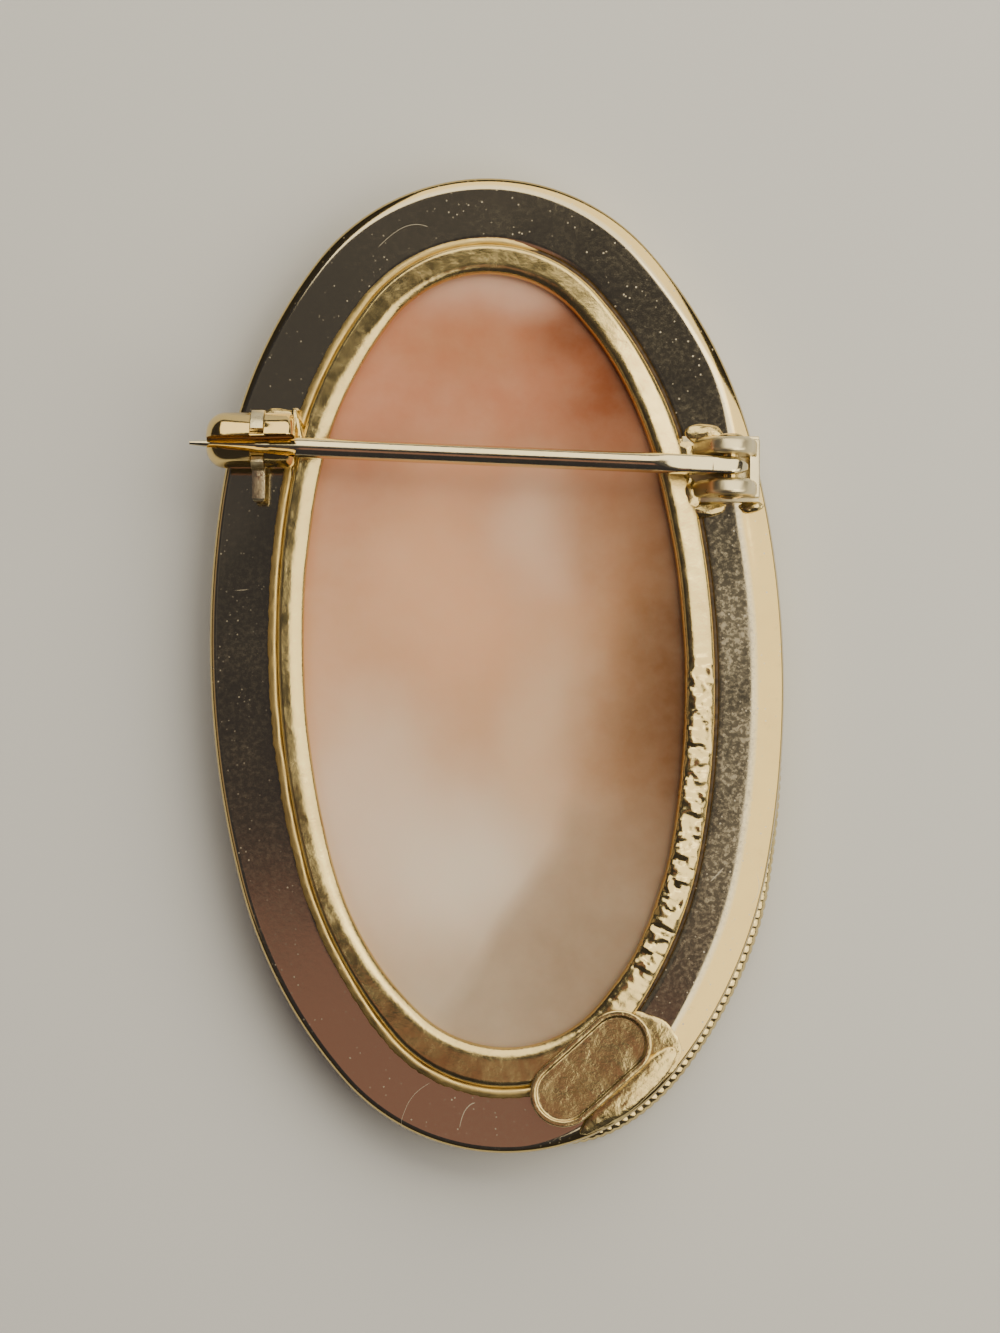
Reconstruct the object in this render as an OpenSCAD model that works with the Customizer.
// Oval cameo brooch lying face down, its back and pin upward.
// X runs across the brooch, Y along it and Z up, in millimetres.
// The origin is under the middle of the oval, on the surface that the front border rests on.

/* [Outline] */
// Half of the frame's width
half_width = 14.38; // [12:0.01:17]
// Half of the frame's length
half_length = 24.41; // [21:0.01:29]
// End arcs against those of an ellipse of the same size
end_fullness = 1.286; // [1.2:0.001:1.35]
// Corner arcs against the mean of the two half sizes
corner_fullness = 1.259; // [1.2:0.001:1.3]
// Side arcs against those of an ellipse of the same size
side_fullness = 1.172; // [1.12:0.001:1.25]

/* [Frame section] */
// Height of the back flange above the surface
flange_z = 3.4; // [3:0.01:4.5]
// Radius of the bead round the outer edge
bead_r = 0.42; // [0.3:0.01:0.5]
// Height of the bead's middle
bead_z = 0.85; // [0.7:0.01:1.1]
// How far the side wall stands in from the bead
wall_inset = 0.1; // [0.05:0.01:0.4]
// How much further in the wall stands at its top
wall_lean = 0.05; // [0:0.01:0.3]
// Width of the rounded shoulder between wall and flange
shoulder_w = 1.2; // [0.6:0.01:1.4]
// Height of the rounded shoulder
shoulder_h = 0.7; // [0.4:0.01:1]
// Distance of the front border's crest from the edge
crest_inset = 2.15; // [1.6:0.01:2.6]
// Width of the flat that the border rests on
crest_flat = 0.3; // [0.2:0.01:0.6]
// Where the flange ends at the solder line
flange_inset = 3.15; // [2.8:0.01:3.2]
// Width of the raised solder line
burr_w = 0.2; // [0.1:0.01:0.25]
// Height of the raised solder line
burr_h = 0.08; // [0.04:0.01:0.12]
// Depth of the groove beside the setting ring
groove_depth = 0.45; // [0.2:0.01:0.6]
// Distance of the setting ring's crest from the edge
ring_inset = 4.3; // [4.2:0.01:4.6]
// Width of the half-round setting ring
ring_w = 1.5; // [1.2:0.01:1.6]
// Height of the setting ring above the flange
ring_rise = 0.6; // [0.3:0.01:0.9]
// How far the ring's lip reaches over the shell's edge
lip_cover = 0.8; // [0.5:0.01:1]
// Thickness of the lip at its inner edge
lip_edge = 0.22; // [0.15:0.01:0.4]
// How far the front lip reaches under the shell's edge
bezel_cover = 0.75; // [0.4:0.01:1]
// Thickness of the front lip at its inner edge
bezel_edge = 0.25; // [0.15:0.01:0.4]

/* [Cameo] */
// Thickness of the shell at its edge
shell_edge_t = 1.05; // [0.8:0.01:1.3]
// Gap between the shell and its seat
shell_gap = 0.05; // [0.03:0.01:0.08]
// Depth of the hollow in the shell's back
dish_depth = 0.8; // [0.4:0.01:0.9]
// How far the shell's front bulges
bulge = 0.85; // [0.4:0.01:0.9]
// Height that the carved figure stands above the shell's front
relief_h = 0.9; // [0.5:0.01:1]
// Height of the carved head from chin to crown
head_h = 12.6; // [10:0.1:13.4]
// Height of the carved figure's chin above the shell's middle
chin_y = -1.2; // [-4:0.1:0]
// Shift of the carved figure toward its face, in head heights
figure_shift = -0.1; // [-0.15:0.01:0]

/* [Plaque] */
// Length of the bare soldered plaque
plaque_l = 6.8; // [5:0.1:8]
// Width of the plaque
plaque_w = 3.15; // [2.4:0.05:3.6]
// Thickness of the plaque above the flange
plaque_t = 0.8; // [0.6:0.01:1.1]
// Width of the plaque's raised rim
plaque_rim = 0.28; // [0.15:0.01:0.4]
// Depth of the plaque's sunk floor
plaque_floor = 0.16; // [0.08:0.01:0.25]
// Distance of the plaque's middle from the brooch's long axis
plaque_x = 4.0; // [2:0.1:5]
// Distance of the plaque's middle from the brooch's lower end
plaque_from_end = 4.2; // [3.6:0.1:5]
// Turn of the plaque against the brooch's width
plaque_turn = 40; // [20:1:60]

/* [Pin line] */
// Height of the pin's axis above the flange
pin_rise = 1.75; // [1.7:0.01:2.2]
// Slant of the catch and hinge against the brooch's width
findings_slant = -2.3; // [-4:0.1:0]
// Radius of the pin stem
stem_r = 0.5; // [0.4:0.01:0.52]
// Radius of the pin's point
tip_r = 0.1; // [0.08:0.01:0.2]
// Length of the tapered point
taper_l = 5.5; // [4:0.1:8]
// How far the point shows past the catch
tip_past = 0.85; // [0.3:0.01:1.5]
// How far the stem lies off the catch's axis, toward the lower end
stem_low = 0.25; // [0.1:0.01:0.3]
// Room round the stem in the catch
mouth_gap = 0.06; // [0.05:0.01:0.1]

/* [Hinge] */
// Distance of the pivot from the brooch's upper end
hinge_from_top = 15.25; // [13:0.01:17]
// Distance of the pivot from the outline beside it
hinge_inset = 1.56; // [1.3:0.01:1.8]
// Gap between the hinge's ears
ear_gap = 1.2; // [1.15:0.01:1.4]
// Thickness of one ear
ear_t = 0.85; // [0.5:0.01:0.9]
// Radius of the ears round the pivot
ear_r = 1.1; // [0.9:0.01:1.3]
// Reach of an ear's foot toward the catch
ear_foot = 1.9; // [1.5:0.01:2.2]
// Length of the hinge's base plate toward the catch
base_in = 2.4; // [2.2:0.01:2.8]
// Length of the base plate and back wall past the pivot
base_out = 1.45; // [1.4:0.01:1.6]
// Width of the base plate
base_w = 3.6; // [3.5:0.01:4.6]
// Thickness of the hinge's sheet
sheet_t = 0.35; // [0.25:0.01:0.4]
// Height of the back wall above the flange
back_wall_h = 0.9; // [0.6:0.01:1.1]
// Radius of the rivet
rivet_r = 0.38; // [0.3:0.01:0.45]
// Radius of the rivet's peened heads
rivet_head_r = 0.62; // [0.5:0.01:0.75]
// Thickness of a rivet head
rivet_head_t = 0.16; // [0.1:0.01:0.25]
// Room between the rivet and the hole it sits in
rivet_gap = 0.02; // [0.01:0.01:0.04]
// Room between the rivet and the pin's hole
pivot_gap = 0.04; // [0.02:0.01:0.08]
// Radius of the pin's flattened head
head_r = 0.85; // [0.7:0.01:0.95]
// Thickness of the pin's flattened head
head_t = 0.94; // [0.7:0.01:1]
// Length of the flattened part from the pivot
head_l = 2.75; // [2.2:0.01:3.2]

/* [Catch] */
// Distance of the catch's middle from the brooch's upper end
catch_from_top = 13.08; // [11:0.01:15]
// Distance of the catch's middle from the outline beside it
catch_inset = 1.34; // [0.8:0.01:1.5]
// Outer radius of the barrel
barrel_r = 1.38; // [1.3:0.01:1.45]
// Length of the barrel
barrel_l = 4.35; // [4.2:0.01:5]
// Radius of the barrel's bore
bore_r = 0.95; // [0.88:0.01:1]
// Thickness of the barrel's end walls
end_wall = 0.35; // [0.25:0.01:0.45]
// Rounding of the barrel's outer end
outer_round = 0.75; // [0.5:0.01:0.9]
// Rounding of the barrel's inner end
inner_round = 0.35; // [0.2:0.01:0.5]
// Wall left inside the lever's slit
journal_t = 0.13; // [0.1:0.01:0.16]
// Distance of the slit from the barrel's middle
slit_x = 0.4; // [0.2:0.01:0.6]
// Width of the lever
lever_w = 0.62; // [0.5:0.01:0.7]
// Room on each side of the lever in its slit
slit_gap = 0.05; // [0.03:0.01:0.08]
// Room between the lever and the wall it turns on
lever_gap = 0.05; // [0.03:0.01:0.08]
// Radial thickness of the lever's ring
lever_t = 0.37; // [0.3:0.01:0.4]
// Reach of the lever's tab beyond the barrel
tab_reach = 1.9; // [1.4:0.01:2.2]
// Thickness of the lever's tab
tab_t = 0.42; // [0.35:0.01:0.5]
// Turn of the resting tab below level
tab_dip = 8; // [0:1:12]
// Width of the posts under the barrel
post_w = 1.3; // [1:0.01:1.5]
// Reach of the outer post from the barrel's middle
post_out = 0.6; // [0.3:0.01:0.8]
// Reach of the inner post from the barrel's middle
post_in = 2.05; // [1.7:0.01:2.2]
// Width of the catch's foot plate along the flange
foot_w = 3.8; // [3.4:0.01:5]
// Thickness of the catch's foot plate
foot_t = 0.22; // [0.15:0.01:0.3]

/* [Hidden] */
$fn = 72;
EPS = 0.01;

// The outline is eight tangent arcs: two ends, two sides and four corners.
end_r = end_fullness * half_width * half_width / half_length;
side_r = side_fullness * half_length * half_length / half_width;
corner_r = corner_fullness * sqrt(half_width * half_length);
end_c = [0, half_length - end_r];
side_c = [half_width - side_r, 0];

// Where two circles meet, on the right of the way from the first to the second
function circles_meet(c1, r1, c2, r2) =
    let (span = norm(c2 - c1), along = (r1 * r1 - r2 * r2 + span * span) / (2 * span))
    let (across = sqrt(r1 * r1 - along * along), u = (c2 - c1) / span)
    c1 + along * u + across * [-u.y, u.x];

corner_c = circles_meet(end_c, corner_r - end_r, side_c, side_r - corner_r);
end_turn = atan2(end_c.y - corner_c.y, end_c.x - corner_c.x);
side_turn = atan2(corner_c.y - side_c.y, corner_c.x - side_c.x);

// Point of the outline's first quarter at a turn, set in by an inset
function quarter_point(turn, inset) =
    let (c = turn < side_turn ? side_c : turn < end_turn ? corner_c : end_c)
    let (r = turn < side_turn ? side_r : turn < end_turn ? corner_r : end_r)
    c + (r - inset) * [cos(turn), sin(turn)];

// Point of the whole outline at a turn from 0 to 360
function outline_point(turn, inset) =
    let (t = turn % 360, fold = t > 180 ? 360 - t : t, q = fold > 90 ? 180 - fold : fold)
    let (p = quarter_point(q, inset))
    [fold > 90 ? -p.x : p.x, t > 180 ? -p.y : p.y];

// Half width of the outline at a height above its middle
side_join_y = quarter_point(side_turn, 0).y;
function half_width_at(y) =
    y < side_join_y ? side_c.x + sqrt(side_r * side_r - y * y)
    : corner_c.x + sqrt(corner_r * corner_r - pow(y - corner_c.y, 2));

// Heights and insets that follow from the frame's sizes
lip_z = flange_z + lip_edge / 2;
seat_top_z = lip_z - lip_edge;
seat_bottom_z = seat_top_z - shell_edge_t - 2 * shell_gap;
opening_inset = ring_inset + ring_w / 2;
seat_inset = opening_inset - lip_cover;
bezel_inset = seat_inset + bezel_cover;
bead_under = 250;
bead_over = 130;

function ellipse_arc(c, rx, rz, from, to, steps) =
    [for (i = [0 : steps]) let (t = from + (to - from) * i / steps) c + [rx * cos(t), rz * sin(t)]];

// Cross section of the frame: distance in from the outline, height
bead_c = [bead_r, bead_z];
bead_foot = bead_c + bead_r * [cos(bead_under), sin(bead_under)];
frame_section = concat(
    ellipse_arc(bead_c, bead_r, bead_r, bead_under, bead_over, 6),
    [[wall_inset, bead_z + 1.2 * bead_r]],
    ellipse_arc([wall_inset + wall_lean + shoulder_w, flange_z - shoulder_h], shoulder_w, shoulder_h, 180, 90, 8),
    [
        [flange_inset, flange_z],
        [flange_inset + burr_w / 3, flange_z + burr_h],
        [flange_inset + burr_w, flange_z + burr_h],
        [ring_inset - ring_w / 2 - burr_w / 3, flange_z - groove_depth]
    ],
    ellipse_arc([ring_inset, lip_z], ring_w / 2, flange_z + ring_rise - lip_z, 180, 0, 12),
    [
        [opening_inset, seat_top_z],
        [seat_inset, seat_top_z],
        [seat_inset, seat_bottom_z],
        [bezel_inset, seat_bottom_z]
    ],
    ellipse_arc(
        [crest_inset + crest_flat / 2, seat_bottom_z - bezel_edge],
        bezel_inset - crest_inset - crest_flat / 2, seat_bottom_z - bezel_edge, 0, -90, 7
    ),
    ellipse_arc(
        [crest_inset - crest_flat / 2, bead_foot.y],
        crest_inset - crest_flat / 2 - bead_foot.x, bead_foot.y, 270, 195, 5
    )
);

// The same section, a hair smaller all round
function inset_loop(loop, w) =
    let (n = len(loop))
    [for (i = [0 : n - 1])
        let (before = loop[i] - loop[(i + n - 1) % n], after = loop[(i + 1) % n] - loop[i])
        let (u = before / norm(before), v = after / norm(after))
        let (a = [u.y, -u.x], b = [v.y, -v.x])
        loop[i] + w * (a + b) / (1 + a * b)];

module outline_arc(c, r, from, to, section) {
    translate([c.x, c.y, 0])
        rotate([0, 0, from])
            rotate_extrude(angle = to - from)
                polygon([for (p = section) [r - p.x, p.y]]);
}

// The corner arcs end just inside their neighbours, so each joint is a step too small to see.
joint_step = 0.01;
joint_turn = 0.8;
corner_section = inset_loop(frame_section, joint_step);
corner_from = side_turn - joint_turn;
corner_to = end_turn + joint_turn;

module frame_sweep() {
    for (s = [0, 1]) {
        rotate([0, 0, 180 * s]) {
            outline_arc(side_c, side_r, -side_turn, side_turn, frame_section);
            outline_arc(end_c, end_r, end_turn, 180 - end_turn, frame_section);
            outline_arc(corner_c, corner_r, corner_from, corner_to, corner_section);
            outline_arc([-corner_c.x, corner_c.y], corner_r, 180 - corner_to, 180 - corner_from, corner_section);
        }
    }
}

// Places of the findings, each from the outline beside it
pin_z = flange_z + pin_rise;
catch_y = half_length - catch_from_top;
catch_pos = [catch_inset - half_width_at(catch_y), catch_y, pin_z];
hinge_y = half_length - hinge_from_top;
hinge_pos = [half_width_at(hinge_y) - hinge_inset, hinge_y, pin_z];

function turned(v, a) = [v.x * cos(a) - v.y * sin(a), v.x * sin(a) + v.y * cos(a)];

// The stem runs from the pivot to a point just off the catch's axis.
catch_plan = [catch_pos.x, catch_pos.y];
hinge_plan = [hinge_pos.x, hinge_pos.y];
stem_aim = catch_plan + turned([0, -stem_low], findings_slant);
stem_way = stem_aim - hinge_plan;
stem_turn = atan2(stem_way.y, stem_way.x);
stem_l = norm(stem_way) + barrel_l / 2 + tip_past;
stem_straight = stem_l - taper_l;

module at_catch() {
    translate(catch_pos) rotate([0, 0, findings_slant]) children();
}

module at_hinge() {
    translate(hinge_pos) rotate([0, 0, findings_slant]) children();
}

// The stem's own shape along its length from the pivot, fatter all round by an amount
module stem_body(start, more) {
    translate(hinge_pos) rotate([0, 0, stem_turn]) rotate([0, 90, 0]) {
        translate([0, 0, start]) cylinder(r = stem_r + more, h = stem_straight - start);
        translate([0, 0, stem_straight]) cylinder(r1 = stem_r + more, r2 = tip_r + more, h = taper_l);
    }
}

// The way that the stem takes out of the catch, straight up
module stem_way_up(more, top) {
    wide = stem_r + more;
    fine = tip_r + more;
    begin = stem_straight - barrel_l / 2;
    translate(hinge_pos) rotate([0, 0, stem_turn]) linear_extrude(top)
        polygon([
            [begin, -wide], [stem_straight, -wide], [stem_l + tip_past, -fine],
            [stem_l + tip_past, fine], [stem_straight, wide], [begin, wide]
        ]);
}

module plaque() {
    body_r = plaque_w / 2;
    reach = plaque_l / 2 - body_r;
    sink = flange_z - groove_depth / 2;
    translate([plaque_x, plaque_from_end - half_length, 0]) rotate([0, 0, plaque_turn]) difference() {
        translate([0, 0, sink]) stadium(reach, body_r, flange_z + plaque_t - sink);
        translate([0, 0, flange_z + plaque_t - plaque_floor])
            stadium(reach, body_r - plaque_rim, plaque_floor + EPS);
    }
}

module stadium(reach, r, h) {
    linear_extrude(h) {
        for (s = [-1, 1]) translate([s * reach, 0]) circle(r);
        square([2 * reach, 2 * r], center = true);
    }
}

// Points where the sides of an ear touch its round top
ear_bottom = sheet_t / 2 - pin_rise;
function touch_point(p, r, side) =
    let (a = atan2(p.y, p.x) + side * acos(r / norm(p)))
    r * [cos(a), sin(a)];

module ear_outline() {
    inner = [-ear_foot, ear_bottom];
    outer = [base_out, ear_bottom];
    difference() {
        union() {
            circle(ear_r);
            polygon([inner, outer, touch_point(outer, ear_r, 1), [0, 0], touch_point(inner, ear_r, -1)]);
        }
        circle(rivet_r + rivet_gap);
    }
}

module ear(side) {
    lift = side > 0 ? ear_gap / 2 + ear_t : -ear_gap / 2;
    translate([0, lift, 0]) rotate([90, 0, 0]) linear_extrude(ear_t) ear_outline();
}

module hinge_bracket() {
    at_hinge() {
        for (s = [-1, 1]) ear(s);
        translate([-base_in, -base_w / 2, -pin_rise - sheet_t / 2])
            cube([base_in + base_out, base_w, 1.5 * sheet_t]);
        translate([base_out - sheet_t, -ear_gap / 2 - ear_t, -pin_rise])
            cube([sheet_t, ear_gap + 2 * ear_t, back_wall_h]);
    }
}

// Half section of the barrel about its axis, from its outer end to its inner end
module barrel_solid() {
    half = barrel_l / 2;
    rotate([0, 90, 0]) rotate_extrude() polygon(concat(
        [[0, -half]],
        ellipse_arc([barrel_r - outer_round, outer_round - half], outer_round, outer_round, -90, 0, 6),
        ellipse_arc([barrel_r - inner_round, half - inner_round], inner_round, inner_round, 0, 90, 4),
        [[0, half]]
    ));
}

module catch_posts() {
    slit = lever_w / 2 + slit_gap;
    drop = -pin_rise - foot_t;
    rise = -(bore_r + barrel_r) / 2 - drop;
    translate([-post_out, -post_w / 2, drop]) cube([post_out + slit_x - slit, post_w, rise]);
    translate([slit_x + slit, -post_w / 2, drop]) cube([post_in - slit_x - slit, post_w, rise]);
    translate([-post_out, -foot_w / 2, -pin_rise - foot_t]) cube([post_out + post_in, foot_w, 2 * foot_t]);
}

module catch_body() {
    difference() {
        at_catch() difference() {
            union() {
                barrel_solid();
                catch_posts();
            }
            translate([end_wall - barrel_l / 2, 0, 0]) rotate([0, 90, 0])
                cylinder(r = bore_r, h = barrel_l - 2 * end_wall);
            translate([slit_x, 0, 0]) rotate([0, 90, 0]) difference() {
                cylinder(r = pin_rise - foot_t - EPS, h = lever_w + 2 * slit_gap, center = true);
                cylinder(r = bore_r + journal_t, h = lever_w + 4 * slit_gap, center = true);
            }
        }
        stem_way_up(mouth_gap, 2 * barrel_r);
        stem_body(stem_straight - barrel_l / 2, mouth_gap);
    }
}

module frame() {
    color("darkkhaki") union() {
        frame_sweep();
        plaque();
        hinge_bracket();
        catch_body();
    }
}

module hinge_rivet() {
    half = ear_gap / 2 + ear_t + rivet_gap;
    color("tan") at_hinge() rotate([90, 0, 0]) {
        cylinder(r = rivet_r, h = 2 * half, center = true);
        for (s = [0, 1]) rotate([180 * s, 0, 0]) translate([0, 0, half])
            cylinder(r1 = rivet_head_r, r2 = rivet_head_r - rivet_head_t, h = rivet_head_t);
    }
}

// The round stem starts a little inside the end of the flattened head.
neck_join = 0.05;

module pin() {
    neck = stem_r * 0.9;
    color("khaki") difference() {
        union() {
            stem_body(head_l - neck_join, 0);
            translate(hinge_pos) rotate([0, 0, stem_turn]) rotate([90, 0, 0])
                linear_extrude(head_t, center = true) {
                    circle(head_r);
                    polygon([
                        [head_l, neck], [head_l, -neck],
                        touch_point([head_l, -neck], head_r, -1), [0, 0], touch_point([head_l, neck], head_r, 1)
                    ]);
                }
        }
        at_hinge() rotate([90, 0, 0])
            cylinder(r = rivet_r + pivot_gap, h = 2 * head_t, center = true);
    }
}

// The lever's ring stays open over the catch's mouth while the lever is unlocked.
lever_in = bore_r + journal_t + lever_gap;
lever_out = lever_in + lever_t;
mouth_reach = stem_r + mouth_gap + lever_gap;
gap_back = asin((mouth_reach - stem_low) / lever_in);
gap_front = asin((mouth_reach + stem_low) / lever_in);

module safety_lever() {
    far = 2 * lever_out;
    tab_end = barrel_r + tab_reach - tab_t / 2;
    color("burlywood") at_catch() translate([slit_x, 0, 0]) rotate([0, 90, 0]) rotate([0, 0, 90])
        linear_extrude(lever_w, center = true) {
            difference() {
                circle(lever_out);
                circle(lever_in);
                polygon([
                    [0, 0], far * [sin(gap_back), cos(gap_back)], [0, far],
                    far * [-sin(gap_front), cos(gap_front)]
                ]);
            }
            rotate([0, 0, tab_dip]) {
                translate([-tab_end, -tab_t / 2]) square([tab_end - lever_in - lever_t / 2, tab_t]);
                translate([-tab_end, 0]) circle(tab_t / 2);
            }
        }
}

// Rings of the shell: share of its outline, height; from the back's middle round to the front's
edge_points = [for (i = [0 : 71]) outline_point(i * 5, seat_inset + shell_gap)];
back_edge_z = seat_top_z - shell_gap;
front_edge_z = seat_bottom_z + shell_gap;
lip_share = 1 - (lip_cover + shell_gap) / (half_width - seat_inset);
shell_rings = concat(
    [for (s = [0.15 : 0.15 : 0.75]) [s * lip_share / 0.9, back_edge_z - dish_depth * (1 - pow(s / 0.9, 2))]],
    [[lip_share, back_edge_z], [1, back_edge_z], [1, front_edge_z], [lip_share, front_edge_z]],
    [for (s = [0.75 : -0.15 : 0.15]) [s * lip_share / 0.9, front_edge_z - bulge * (1 - pow(s / 0.9, 2))]]
);

// Closed solid through rings of equal length, capped by one point at each end
module ring_solid(rings, first, last) {
    n = len(rings[0]);
    m = len(rings);
    points = concat([first], [for (r = rings) each r], [last]);
    faces = concat(
        [for (i = [0 : n - 1]) [0, 1 + (i + 1) % n, 1 + i]],
        [for (k = [0 : m - 2], i = [0 : n - 1])
            let (a = 1 + k * n + i, b = 1 + k * n + (i + 1) % n) each [[a, b, a + n], [b, b + n, a + n]]],
        [for (i = [0 : n - 1]) [m * n + 1, 1 + (m - 1) * n + i, 1 + (m - 1) * n + (i + 1) % n]]
    );
    polyhedron(points, faces);
}

module shell() {
    ring_solid(
        [for (r = shell_rings) [for (p = edge_points) [r.x * p.x, r.x * p.y, r.y]]],
        [0, 0, back_edge_z - dish_depth],
        [0, 0, front_edge_z - bulge]
    );
}

// Outlines of the carved head, seen from the front: across and up from the chin, in head heights
face_outline = [
    [0.00, 1.00], [0.18, 0.985], [0.32, 0.93], [0.405, 0.84], [0.44, 0.74], [0.45, 0.66],
    [0.44, 0.60], [0.46, 0.53], [0.50, 0.44], [0.54, 0.385], [0.53, 0.355], [0.47, 0.335],
    [0.463, 0.31], [0.485, 0.275], [0.46, 0.25], [0.474, 0.222], [0.44, 0.185], [0.456, 0.12],
    [0.45, 0.07], [0.41, 0.015], [0.34, 0.00], [0.20, 0.05], [0.08, 0.12], [-0.02, 0.20],
    [-0.12, 0.34], [-0.30, 0.42], [-0.42, 0.60], [-0.38, 0.80], [-0.22, 0.94]
];
hair_outline = [
    [0.02, 1.08], [0.20, 1.06], [0.35, 1.00], [0.44, 0.90], [0.40, 0.80], [0.28, 0.74],
    [0.16, 0.66], [0.08, 0.54], [0.04, 0.42], [-0.06, 0.34], [-0.20, 0.28], [-0.34, 0.30],
    [-0.46, 0.42], [-0.53, 0.60], [-0.50, 0.80], [-0.38, 0.96], [-0.18, 1.06]
];
knot_outline = [
    [-0.40, 0.50], [-0.38, 0.36], [-0.44, 0.24], [-0.54, 0.18], [-0.65, 0.20], [-0.73, 0.30],
    [-0.73, 0.44], [-0.66, 0.55], [-0.54, 0.60]
];
bust_outline = [
    [-0.06, 0.40], [0.12, 0.22], [0.16, 0.08], [0.17, -0.06], [0.24, -0.17], [0.36, -0.25],
    [0.47, -0.35], [0.53, -0.47], [0.50, -0.60], [0.38, -0.72], [0.20, -0.82], [0.00, -0.87],
    [-0.20, -0.85], [-0.40, -0.76], [-0.55, -0.63], [-0.62, -0.48], [-0.58, -0.34], [-0.44, -0.23],
    [-0.32, -0.12], [-0.27, 0.02], [-0.27, 0.20]
];
figure_floor = front_edge_z - bulge / 2;

function at_figure(p) = [(figure_shift - p.x) * head_h, chin_y + p.y * head_h];
function near_point(p, middle, share) = middle + share * (p - middle);

// A carved form that rises from its outline to a rounded top, in four steps of turn
form_step = 14;
module carved_form(outline, middle, height) {
    lift = front_edge_z - bulge - figure_floor;
    rings = [for (a = [0 : form_step : 4 * form_step]) [
        for (p = outline)
            let (q = at_figure(near_point(p, middle, cos(a)))) [q.x, q.y, figure_floor + lift - height * sin(a)]
    ]];
    foot = [for (p = outline) let (q = at_figure(p)) [q.x, q.y, figure_floor]];
    top = at_figure(middle);
    ring_solid(
        concat([foot], rings),
        [top.x, top.y, figure_floor],
        [top.x, top.y, figure_floor + lift - height]
    );
}

// Waves of hair: start and end, across and up from the chin, in head heights
hair_waves = [
    [0.40, 0.90, 0.02, 1.03], [0.33, 0.80, -0.12, 0.97], [0.22, 0.70, -0.26, 0.88],
    [0.12, 0.57, -0.38, 0.76], [0.02, 0.44, -0.44, 0.60]
];
wave_w = 0.05;

// Outline of a leaf between two points, widest halfway
function leaf(start, end, w) =
    let (along = end - start, side = [-along.y, along.x] / norm(along))
    [for (i = [0 : 15])
        let (share = (1 - cos(i * 22.5)) / 2, s = i < 8 ? 1 : -1)
        start + share * along + s * w * sqrt(4 * share * (1 - share)) * side];

module cameo() {
    color("peru") union() {
        shell();
        carved_form(bust_outline, [-0.05, -0.35], relief_h * 0.7);
        carved_form(face_outline, [0.10, 0.50], relief_h * 0.8);
        carved_form(hair_outline, [-0.14, 0.70], relief_h * 0.85);
        carved_form(knot_outline, [-0.56, 0.36], relief_h * 0.8);
        for (w = hair_waves) {
            from = [w[0], w[1]];
            to = [w[2], w[3]];
            carved_form(leaf(from, to, wave_w), (from + to) / 2, relief_h);
        }
    }
}

frame();
cameo();
hinge_rivet();
pin();
safety_lever();
